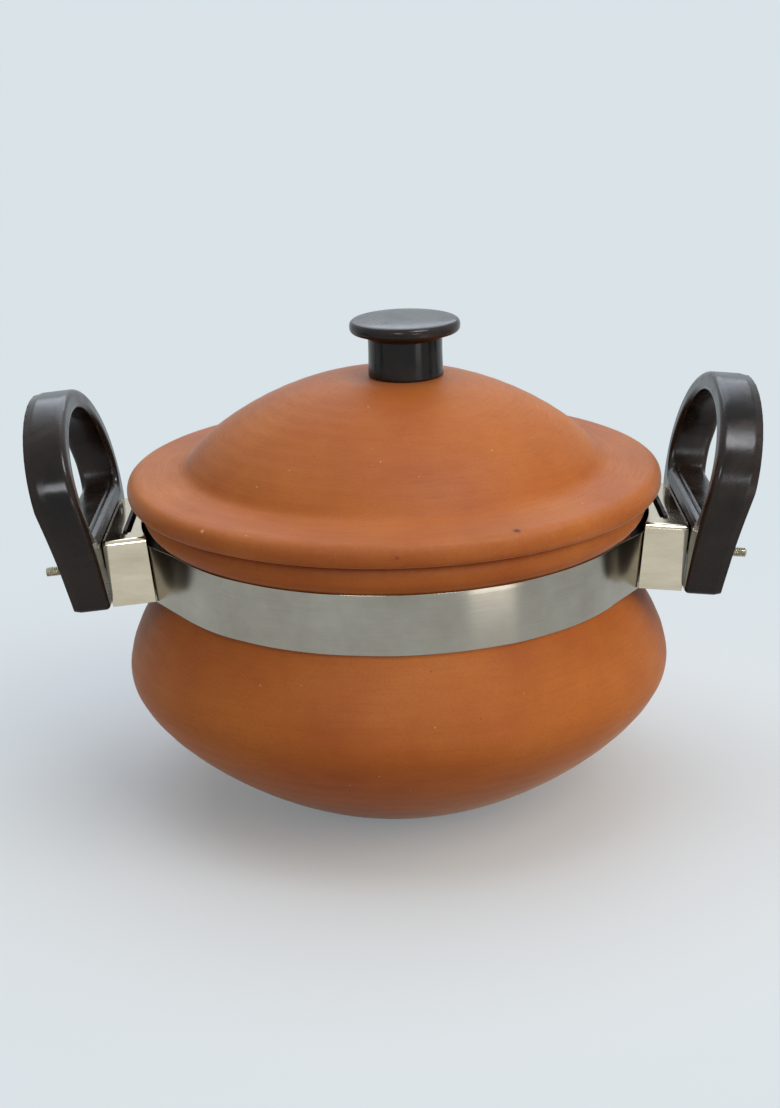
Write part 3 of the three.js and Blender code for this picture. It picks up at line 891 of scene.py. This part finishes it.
@dataclass
class NeckBand:
    """Steel band in two halves, each with ends that bend into the brackets and hook behind a plate."""

    palette: Palette
    seat: LeaningFrame = LeaningFrame(Side.RIGHT)
    line: float = 97.6
    low: float = 91.4
    height: float = 24.0
    sheet: float = 0.8
    edge: float = 0.22
    lane: float = 26.4
    hook_line: float = 10.9
    hook_length: float = 11.0
    # Height, length and phase of each wave in the strip, and where the waves end before the bracket.
    waves: tuple[Triple, ...] = ((0.09, 6.6, 0.7), (0.07, 3.9, 2.1))
    wave_end: float = 12.0
    lean_start: float = 9.0
    # Multiplies the distance out in the pattern's coordinates, so that the two faces differ.
    apart: float = 20.0
    step: float = 1.1

    def path(self) -> np.ndarray:
        """Middle line of half the band: an arc round the neck, a tangent, a cheek and a hook at each end.

        Returns:
            Points of x and y.
        """
        corner = np.array([self.seat.x + 2, -self.lane])
        leave = math.atan2(corner[0], -corner[1]) - math.acos(self.line / np.hypot(*corner))
        turn = np.linspace(0, leave, round(self.line * leave / self.step))
        arc = self.line * np.column_stack([np.sin(turn), -np.cos(turn)])
        heading = (corner - arc[-1]) / np.hypot(*(corner - arc[-1]))
        hook, (x, y) = self.seat.x + self.hook_line / math.cos(self.seat.lean), corner
        ends = trace(
            arc[-1], (corner - 2 * heading,), (corner, (x + 2, y)), ((hook - 1.5, y),),
            ((hook, y), (hook, y + 1.5)), ((hook, y + self.hook_length),), counts=(14, 9, 6, 9, 10))
        right = chain(arc, ends)
        return chain((right * (-1, 1))[:0:-1], right)

    def section(self) -> np.ndarray:
        """Rounded rectangle of the strip.

        Returns:
            Distance out from the middle line, and height.
        """
        half, tall, r = self.sheet / 2, self.height / 2, self.edge
        face = np.linspace(-tall + r, tall - r, 13)
        q = np.linspace(0, np.pi / 2, 5)
        edge = np.column_stack([half - r + r * np.cos(q), tall - r + r * np.sin(q)])
        right = chain(np.column_stack([np.full(13, half), face]), edge)
        return chain(right, -right)

    def build(self) -> None:
        """Carries the section along the path; the ends lean with the brackets and the strip is a bit wavy."""
        path, section, seat = self.path(), self.section(), self.seat
        along = np.gradient(path, axis=0)
        along /= np.linalg.norm(along, axis=1, keepdims=True)
        run = run_of(path)[:, None]
        middle = run - run[-1] / 2
        free = 1 - smooth(seat.x - self.wave_end, seat.x, np.abs(path[:, :1]))
        out = section[:, 0] + free * sum(
            height * np.sin(middle / length + phase) for height, length, phase in self.waves)
        x = path[:, :1] + along[:, 1:] * out
        y = path[:, 1:] - along[:, :1] * out
        z = self.low + self.height / 2 + section[:, 1] + 0 * x
        share = np.clip((np.abs(x) - seat.x + self.lean_start) / self.lean_start, 0, 1)
        x = x + np.sign(x) * share * (z - seat.z) * math.tan(seat.lean)
        points = np.stack([x, y, z], -1)
        first, last = (np.broadcast_to(points[k].mean(axis=0), points[:1].shape) for k in (0, -1))
        whole = np.concatenate([first, points, last])
        strip = np.stack(np.broadcast_arrays(middle, z, section[:, 0] * self.apart), -1) * MM
        strip = np.concatenate([strip[:1], strip, strip[-1:]])
        for name, side in (("front", Side.RIGHT), ("back", Side.LEFT)):
            make_piece(f"neck_band_{name}", side.turn(whole), self.palette.strip, Body.POT, f"band_{name}",
                       poles=BOTH, strip=strip)


@dataclass
class Bracket:
    """Folded nickel cover between the neck and a handle, slotted on top for the clamp plate's tab."""

    palette: Palette
    side: Side
    width: float = 63.0
    depth: float = 17.6
    height: float = 27.3
    sheet: float = 0.9
    bend: float = 2.2
    slot_far: float = 10.5
    slot_width: float = 3.2
    slot_half: float = 21.3
    lip_reach: float = 104.0
    burr: float = 0.16
    burr_angle: float = math.radians(50)

    def fold(self) -> np.ndarray:
        """Outer line of the fold: up one cheek, round a bend, across the top and down the other.

        Returns:
            Points of y and h.
        """
        half, c = self.width / 2 - self.bend, self.height - self.bend
        q = np.linspace(0, np.pi / 2, 9)
        cheek = np.column_stack([np.full(16, self.width / 2), np.linspace(0, c, 16)])
        corner = np.column_stack([half + self.bend * np.cos(q), c + self.bend * np.sin(q)])
        top = trace(
            (half, self.height), ((self.slot_half, self.height),), ((0, self.height),), counts=(7, 17))
        right = chain(cheek, corner, top)
        return chain(right, (right * (-1, 1))[::-1])

    def build(self) -> None:
        """Sheet over (w, a): w runs along the fold and a outward, from a curve that clears the lip."""
        base = LeaningFrame(self.side)
        y, h = self.fold().T
        lip = np.sqrt(self.lip_reach ** 2 - y ** 2) - base.x - h * math.sin(base.lean)
        start = np.maximum(lip / math.cos(base.lean), 0) * smooth(self.height - 3, self.height - 0.5, h)
        near = self.slot_far - self.slot_width
        share = np.linspace(0, 1, 7)[:, None]
        rows = np.vstack([
            start + (near - start) * share, np.linspace(near, self.slot_far, 4)[1:, None] + 0 * y,
            np.linspace(self.slot_far, self.depth, 7)[1:, None] + 0 * y])
        inside = (np.abs(y[1:] + y[:-1]) / 2 < self.slot_half) & (h[1:] > self.height - 1e-6)
        cut = (rows[1:, :1] > near + 1e-6) & (rows[1:, :1] < self.slot_far + 1e-6)
        piece = make_piece(
            self.side.node("bracket_cover"), base.place(rows, y, h), self.palette.nickel, Body.POT,
            self.side.node("bracket"), wrap=(False, False), skip=cut & inside)
        wall = piece.modifiers.new("sheet", "SOLIDIFY")
        wall.thickness, wall.offset, wall.use_even_offset = self.sheet * MM, -1.0, True
        # The inner shell takes the second material, the near-black steel that paints the hollow's shade.
        wall.material_offset = 1
        burr = piece.modifiers.new("burr", "BEVEL")
        burr.width, burr.segments, burr.limit_method = self.burr * MM, 2, "ANGLE"
        burr.angle_limit = self.burr_angle
        piece.modifiers.new("flats", "WEIGHTED_NORMAL").keep_sharp = True
        # Near-black painted shade for the inside of the sheet and for the clamp plate.
        piece.data.materials.append(self.palette.hollow_painted_shade.material())
        refinish(self.side.node("clamp_plate"), self.palette.hollow_painted_shade)


@dataclass
class LoopHandle:
    """Moulded loop handle: a flat foot against the bracket and a ring round the finger gap."""

    palette: Palette
    side: Side
    face: float = 17.9
    foot: float = 72.0
    width: float = 102.0
    widest: float = 48.0
    top: float = 82.0
    bar: float = 8.0
    saddle: float = 31.5
    arch: float = 0.55
    splay: float = math.radians(9)
    foot_thick: float = 14.6
    grip: float = 17.5
    top_thick: float = 16.0
    round: float = 2.5
    bevel: Point = (3.0, 0.7)
    ease: float = 14.0
    screw_rise: float = 8.0
    spot: float = 6.0
    spot_depth: float = 1.2
    spot_ease: Point = (0.9, 1.3)
    # Height, middle and width of the moulded steps in the finger gap and on the pot face.
    gap_steps: tuple[Triple, ...] = ((0.55, 4.3, 0.4), (-0.3, 3.0, 0.45))
    face_steps: tuple[Triple, ...] = ((0.7, 2.2, 0.4), (-0.25, 3.3, 0.5))
    skin: float = 1.2
    # Least height of the flash and what its ragged parts add, its width and how far in it starts.
    flash: tuple[float, float, float, float] = (0.12, 0.4, 0.25, 2.2)
    steps: tuple[int, int, int] = (56, 44, 58)

    def outlines(self) -> tuple[np.ndarray, np.ndarray]:
        """Outer and inner outline, (y, h), in matching steps round the loop.

        Returns:
            The two closed outlines, which start at the middle of the foot.
        """
        foot, wide, widest, saddle = self.foot / 2, self.width / 2, self.widest, self.saddle
        gap, crown = wide - self.bar, self.top - self.bar
        base, corner, haunch = self.steps
        turn = corner // 4
        outer = trace(
            (0, 0), ((foot - 3, 0),), ((foot, 0), (foot + 0.6, 3)),
            ((foot + 0.4 * (wide - foot), 0.34 * widest), (wide, 0.7 * widest), (wide, widest)),
            ((wide, widest + self.arch * (self.top - widest)), (self.arch * wide, self.top), (0, self.top)),
            counts=(base, turn, corner - turn + 1, haunch))
        inner = trace(
            (0, saddle), ((gap - 7, saddle),), ((gap - 2, saddle), (gap, saddle + 6), (gap, widest - 3)),
            ((gap, widest + self.arch * (crown - widest)), (self.arch * gap, crown), (0, crown)),
            counts=(base, corner, haunch))
        return tuple(np.vstack([half, (half * (-1, 1))[-2:0:-1]]) for half in (outer, inner))

    def section(self, span: np.ndarray) -> tuple[np.ndarray, np.ndarray, np.ndarray, np.ndarray]:
        """Section of the loop, from pot face to rim, bevel strip, back and finger gap.

        Args:
            span: Distance from inner to outer outline at each step, as a column.
        Returns:
            Distance s from the inner outline, thickness a from the pot face, how much each point is an
            edge, and which columns are the back face.
        """
        r, t, (strip, drop) = self.round, self.grip, self.bevel
        q = np.linspace(0, np.pi / 2, 8)[1:-1]
        sine, cosine = r * np.sin(q), r * np.cos(q)
        wide, rim, back = np.linspace(0, 1, 22), np.linspace(0, 1, 12), np.linspace(0, 1, 46)
        crisp = np.array([0.04, 0.5, 0.94, 1.0])
        finger = np.concatenate([np.linspace(1, 0.36, 8), np.linspace(0.33, 0, 14)])
        zero = 0 * span
        parts = [
            (r + wide * (span - 2 * r), zero + 0 * wide, 0),
            (span - r + sine, zero + r - cosine, 1),
            (span + 0 * rim, zero + r + rim * (t - strip - r), 0),
            (span - drop * crisp, zero + t - strip + strip * crisp, 0.6),
            (span - drop - 0.12 - back * (span - drop - 0.12 - r), zero + t + 0 * back, 0),
            (zero + r - sine, zero + t - r + cosine, 1),
            (zero + 0 * finger, zero + r + finger * (t - 2 * r), 0),
            (zero + r - cosine, zero + r - sine, 1)]
        edge = np.concatenate([np.full(s.shape[1], weight) for s, _, weight in parts])
        rear = np.concatenate([np.full(s.shape[1], k == 4) for k, (s, _, _) in enumerate(parts)])
        return np.hstack([s for s, _, _ in parts]), np.hstack([a for _, a, _ in parts]), edge, rear

    def build(self) -> None:
        """Carries the section round the loop.

        Near the saddle the pot face and the finger gap have moulded steps, the crown has flash along its
        parting edge and the back has a spot face for the washer. The thickness follows the height h, and
        above the saddle the loop splays by (h - saddle) tan(splay), eased in by a parabola.
        """
        outer, inner = self.outlines()
        across = outer - inner
        span = np.linalg.norm(across, axis=1, keepdims=True)
        s, a, edge, rear = self.section(span)
        on_base = 1 - smooth(self.foot / 2 - 1, self.foot / 2 + 5, np.abs(inner[:, :1]))
        on_base = on_base * (inner[:, 1:] < self.saddle + 4)
        groove = sum(height * bell(a, middle, width) for height, middle, width in self.gap_steps)
        s = s + on_base * groove * (s < self.skin)
        groove = sum(height * bell(s, middle, width) for height, middle, width in self.face_steps)
        a = a + on_base * groove * (a < self.skin)
        step = np.arange(len(outer))[:, None]
        ragged = np.sin(step * 0.9) * np.sin(step * 2.3 + 1) * np.sin(step * 0.31 + 2)
        least, more, width, reach = self.flash
        flash = smooth(self.widest, self.top, outer[:, 1:]) * (least + more * np.maximum(ragged, 0))
        s = s + flash * bell(a, self.grip - 0.1, width) * (s > span - reach)
        y = inner[:, :1] + across[:, :1] / span * s
        h = inner[:, 1:] + across[:, 1:] / span * s
        low = self.foot_thick + (self.grip - self.foot_thick) * np.clip(h / self.widest, 0, 1)
        crown = np.clip((h - self.widest) / (self.top - self.widest), 0, 1)
        thick = low + (self.top_thick - self.grip) * crown
        above = np.clip((h - self.saddle) / self.ease, -1, None)
        rise = np.where(above < 1, self.ease * (1 + above) ** 2 / 4, h - self.saddle)
        out = self.face + rise * math.tan(self.splay) + a * thick / self.grip
        level = self.face + self.foot_thick - self.spot_depth
        inward, outward = self.spot_ease
        spot = 1 - smooth(self.spot - inward, self.spot + outward, np.hypot(y, h - self.screw_rise))
        out = np.where(rear, np.minimum(out, out + (level - out) * spot), out)
        placed = LeaningFrame(self.side).place(out, y, h)
        make_piece(self.side.node("handle_moulding"), placed, self.palette.bakelite, Body.POT,
                   self.side.node("handle"), wrap=BOTH, crease=28, rub=edge + 0 * s)


@dataclass(frozen=True)
class Thread:
    """Metric screw: shank, slotted pan head and pitch."""

    shank: float
    head: float
    rise: float
    length: float
    pitch: float
    slot: float = 1.0

    def surface(self, columns: int = 28) -> np.ndarray:
        """Screw along +Z with its head's seat at 0 and its tip at length.

        The radius is the outline's, cut by a triangle wave of z / pitch - q / 2 pi on the shank.

        Args:
            columns: Steps of the turn.
        Returns:
            Points, rows by columns by 3, from a pole on the head to a pole on the tip.
        """
        shank, head, rise, length = self.shank, self.head, self.rise, self.length
        line = trace(
            (0, -rise), ((0.7 * head, -rise),), ((head, -rise), (head, -0.45 * rise)), ((head, 0),),
            ((shank, 0),), ((shank, length - 0.5),), ((shank - 0.5, length), (0, length)),
            counts=(9, 8, 3, 4, round(length / self.pitch * 7), 6))
        points, turn = turned(line, columns)
        radius, height = line[:, :1], line[:, 1:]
        phase = height / self.pitch - turn / (2 * np.pi)
        ridge = shank - 0.6 * self.pitch * np.abs(2 * (phase - np.floor(phase)) - 1)
        cut = np.where(height > 0.6, np.minimum(radius, ridge), radius)
        points[..., :2] *= (cut / np.maximum(radius, 1e-6))[..., None]
        groove = (np.abs(points[..., 1]) < self.slot / 2) & (height < -0.45 * rise)
        points[..., 2] = np.where(groove, -0.5 * rise, points[..., 2])
        return points


def ring_surface(inner: float, outer: float, low: float, high: float, columns: int = 48) -> np.ndarray:
    """Washer along +Z: a rectangle with rounded corners turned about the axis.

    Args:
        inner: Radius of the hole.
        outer: Outer radius.
        low: Level of the lower face.
        high: Level of the upper face.
        columns: Steps of the turn.
    Returns:
        Points, rows by columns by 3, closed both ways.
    """
    r = 0.3 * min(high - low, outer - inner)
    corners = (
        ((inner, low + r), (inner, low), (inner + r, low)),
        ((outer - r, low), (outer, low), (outer, low + r)),
        ((outer, high - r), (outer, high), (outer - r, high)),
        ((inner + r, high), (inner, high), (inner, high - r)))
    return turned(chain(*(bezier(*corner, count=5) for corner in corners)), columns)[0]


def nut_surface(bore: float, flats: float, low: float, high: float, columns: int = 72) -> np.ndarray:
    """Hexagon nut along +Z: at each level the radius is the lesser of the hexagon and a chamfer cone.

    Args:
        bore: Radius of the hole.
        flats: Distance between opposite flats.
        low: Level of the lower face.
        high: Level of the upper face.
        columns: Steps of the turn.
    Returns:
        Points, rows by columns by 3, closed both ways.
    """
    turn = np.arange(columns) * 2 * np.pi / columns
    hexagon = flats / 2 / np.cos((turn + np.pi / 6) % (np.pi / 3) - np.pi / 6)
    rise = np.array([0, 0.15, 0.3, 0.5, 0.8])
    cone = flats / 2 * 0.95 + np.concatenate([rise, rise[::-1]]) * 1.7
    hole = np.full((1, columns), bore)
    radius = np.vstack([hole, np.minimum(hexagon, cone[:, None]), hole])
    z = np.concatenate([[low], low + rise, high - rise[::-1], [high]])[:, None]
    return np.stack(np.broadcast_arrays(radius * np.cos(turn), radius * np.sin(turn), z), -1)


@dataclass
class HandleBolt:
    """Screw, washer and nut that hold a handle to its clamp plate."""

    palette: Palette
    side: Side
    screw: Thread = Thread(2.0, 4.0, 2.8, 40.0, 0.7)
    head_seat: float = 8.4
    rise: float = 8.0
    washer_level: float = 31.6
    washer: float = 4.5
    sheet: float = 0.8
    gap: float = 0.3
    flats: float = 7.0
    nut: float = 3.2

    def build(self) -> None:
        """Lays each surface along the leaning frame's a axis at the screw's height."""
        bore, nut = self.screw.shank + self.gap, self.washer_level + self.sheet + self.gap
        washer = ring_surface(bore, self.washer, self.washer_level, self.washer_level + self.sheet)
        self.lay("handle_screw", self.screw.surface() + (0, 0, self.head_seat), poles=BOTH)
        self.lay("handle_washer", washer, wrap=BOTH)
        self.lay("handle_nut", nut_surface(bore, self.flats, nut, nut + self.nut), wrap=BOTH)

    def lay(self, stem: str, points: np.ndarray, **shape: Flags) -> None:
        """Makes one fastener.

        Args:
            stem: Stem of the CAD node that it stands for.
            points: Its surface along +Z.
            shape: How the surface closes.
        """
        placed = LeaningFrame(self.side).place(points[..., 2], points[..., 0], self.rise + points[..., 1])
        make_piece(self.side.node(f"plated_{stem}"), placed, self.palette.zinc, Body.POT,
                   self.side.node(stem), crease=FASTENER_CREASE, **shape)


@dataclass
class KnobBolt:
    """Screw and washer under the lid and the turned insert in the knob."""

    palette: Palette
    screw: Thread = Thread(2.5, 4.9, 3.4, 20.0, 0.8, 1.2)
    offset: float = 6.0
    seat: float = 166.4
    gap: float = 0.3
    washer: float = 8.0
    sheet: float = 1.2

    def build(self) -> None:
        """Stands the screw on its head under the dome and finishes the insert."""
        low = self.seat + self.gap
        screw = self.screw.surface() + (self.offset, 0, self.seat)
        washer = ring_surface(self.screw.shank + self.gap, self.washer, low, low + self.sheet)
        for stem, points, shape in (("knob_screw", screw, {"poles": BOTH}),
                                    ("knob_washer", washer + (self.offset, 0, 0), {"wrap": BOTH})):
            make_piece(f"plated_{stem}", points, self.palette.zinc, Body.LID, stem,
                       crease=FASTENER_CREASE, **shape)
        refinish("knob_insert", self.palette.brass)


@dataclass(frozen=True)
class Lamp:
    """Soft square lamp that points at the pot; its place and size are in metres and its power in watts."""

    name: str
    place: Triple
    size: float
    power: float
    colour: str
    reach: Reach

    def build(self, target: Vector) -> None:
        """Adds the lamp.

        Args:
            target: Point that it shines on, in metres.
        """
        data = bpy.data.lights.new(self.name, "AREA")
        data.shape, data.size, data.energy = "SQUARE", self.size, self.power
        data.color = linear(self.colour)[:3]
        lamp = bpy.data.objects.new(self.name, data)
        lamp.location = self.place
        lamp.visible_camera = False
        lamp.visible_diffuse, lamp.visible_glossy = self.reach.value
        lamp.rotation_mode = "QUATERNION"
        lamp.rotation_quaternion = (target - lamp.location).to_track_quat("-Z", "Y")
        bpy.context.scene.collection.objects.link(lamp)


@dataclass
class Studio:
    """Camera, pale floor, pale surroundings and soft lamps."""

    # Focal length and frame height in pixels of the photograph, and the eye in millimetres.
    focal: float = 2000.0
    frame_height: float = 1108.0
    eye: Triple = (-2.48, -789.7, 360.4)
    pitch: float = math.radians(18.31)
    roll: float = math.radians(-1.62)
    # Floor in metres: half its side, its level, and the distances over which its far tone fades in.
    floor_half: float = 25.0
    floor_level: float = -0.0003
    floor_fade: Point = (0.1, 0.38)
    floor_least: float = 0.25
    floor_roughness: float = 0.7
    floor_gloss: float = 0.1
    floor_colour: str = "#e8ebed"
    far_colour: str = "#d9e3e8"
    ambient: float = 0.32
    ambient_colour: str = "#f6f0e7"
    bounce_colour: str = "#b3a493"
    aim: Triple = (0.0, 0.0, 0.1)
    lamps: tuple[Lamp, ...] = (
        Lamp("key", (1.2, -1.0, 1.1), 1.6, 21.0, "#fff6e8", Reach.MATT),
        Lamp("sky", (0.0, 0.3, 1.7), 2.2, 22.0, "#e4eeff", Reach.MATT),
        Lamp("lantern", (0.48, -0.40, 1.46), 0.45, 11.0, "#f4f8ff", Reach.GLINT),
        Lamp("window", (0.6, -1.48, 0.37), 0.3, 2.6, "#f4f8ff", Reach.GLINT),
        Lamp("pane", (-0.36, -1.35, 0.85), 0.34, 5.0, "#f4f8ff", Reach.GLINT),
        Lamp("fill", (-1.2, -0.9, 0.5), 0.8, 0.3, "#ffdcc4", Reach.MATT),
        Lamp("back_wall", (0.0, 1.35, 1.2), 1.2, 9.5, "#e6efff", Reach.GLINT),
        Lamp("reflector", (0.275, -0.33, 0.04), 0.13, 0.105, "#fffdfa", Reach.GLINT))

    def build(self) -> None:
        """Sets up everything round the object."""
        self.camera()
        self.floor()
        self.surroundings()
        for lamp in self.lamps:
            lamp.build(Vector(self.aim))
        bpy.context.scene.view_settings.view_transform = "Standard"

    def camera(self) -> None:
        """Camera at the photograph's angle: pitched down and rolled about its own axis."""
        data = bpy.data.cameras.new("view")
        data.sensor_width = 36.0
        data.lens = self.focal * data.sensor_width / self.frame_height
        data.clip_start, data.clip_end = 0.01, 50.0
        camera = bpy.data.objects.new("view", data)
        camera.location = Vector(self.eye) * MM
        camera.rotation_mode = "QUATERNION"
        camera.rotation_quaternion = (
            Quaternion((1, 0, 0), math.pi / 2 - self.pitch) @ Quaternion((0, 0, 1), self.roll))
        bpy.context.scene.collection.objects.link(camera)
        bpy.context.scene.camera = camera

    def shown(self, node: Nodes) -> bpy.types.NodeSocket:
        """Picks the rays that see the pale background: the camera's, and those off metal or through glass.

        Args:
            node: Adds one node to the tree of the floor or the world.
        Returns:
            Socket that is 1 for these rays and 0 for the light that falls on the object.
        """
        rays = node("LightPath").node.outputs
        seen = rays["Is Camera Ray"]
        for kind in ("Is Glossy Ray", "Is Transmission Ray"):
            seen = node("Math", {0: seen, 1: rays[kind]}, operation="MAXIMUM")
        return seen

    def floor(self) -> None:
        """Flat floor just under the foot: matt near the object, one pale tone further off."""
        mesh = bpy.data.meshes.new("floor")
        half, level = self.floor_half, self.floor_level
        mesh.from_pydata(
            [(-half, -half, level), (half, -half, level), (half, half, level), (-half, half, level)], [],
            [(0, 1, 2, 3)])
        floor = bpy.data.objects.new("floor", mesh)
        bpy.context.scene.collection.objects.link(floor)
        made = bpy.data.materials.new("floor_matt")
        made.use_nodes = True
        made.node_tree.nodes.clear()
        node = partial(add, made.node_tree)
        seen = self.shown(node)
        tone = node("Mix", {
            0: seen, 6: linear(self.bounce_colour), 7: linear(self.floor_colour)}, 2, data_type="RGBA")
        matt = node("BsdfPrincipled", {
            "Base Color": tone, "Roughness": self.floor_roughness, "Specular IOR Level": self.floor_gloss})
        start, full = self.floor_fade
        away = node("VectorMath", {0: node("TexCoord", output="Object")}, "Value", operation="LENGTH")
        away = node("MapRange", {
            "Value": away, "From Min": start, "From Max": full, "To Min": self.floor_least},
            interpolation_type="SMOOTHSTEP")
        pale = node("Math", {0: seen, 1: away}, operation="MULTIPLY")
        glow = node("Emission", {"Color": linear(self.far_colour)})
        node("OutputMaterial", {"Surface": node("MixShader", {0: pale, 1: matt, 2: glow})})
        mesh.materials.append(made)

    def surroundings(self) -> None:
        """World: one pale tone where it is seen, and a plain ambient light."""
        world = bpy.data.worlds.new("studio")
        bpy.context.scene.world = world
        world.use_nodes = True
        world.node_tree.nodes.clear()
        node = partial(add, world.node_tree)
        light, pale = (
            node("Background", {"Color": linear(colour), "Strength": strength})
            for colour, strength in ((self.ambient_colour, self.ambient), (self.far_colour, 1.0)))
        node("OutputWorld", {"Surface": node("MixShader", {0: self.shown(node), 1: light, 2: pale})})


def main() -> None:
    """Builds the studio and every sub-assembly in order."""
    logging.basicConfig(level=logging.INFO, format="%(name)s: %(message)s")
    palette = Palette()
    Studio().build()
    assemblies = [Pot(palette), NeckBand(palette)]
    for side in Side:
        assemblies += [Bracket(palette, side), LoopHandle(palette, side), HandleBolt(palette, side)]
    assemblies += [Lid(palette), Knob(palette), KnobBolt(palette)]
    for assembly in assemblies:
        assembly.build()


if __name__ == "__main__":
    main()
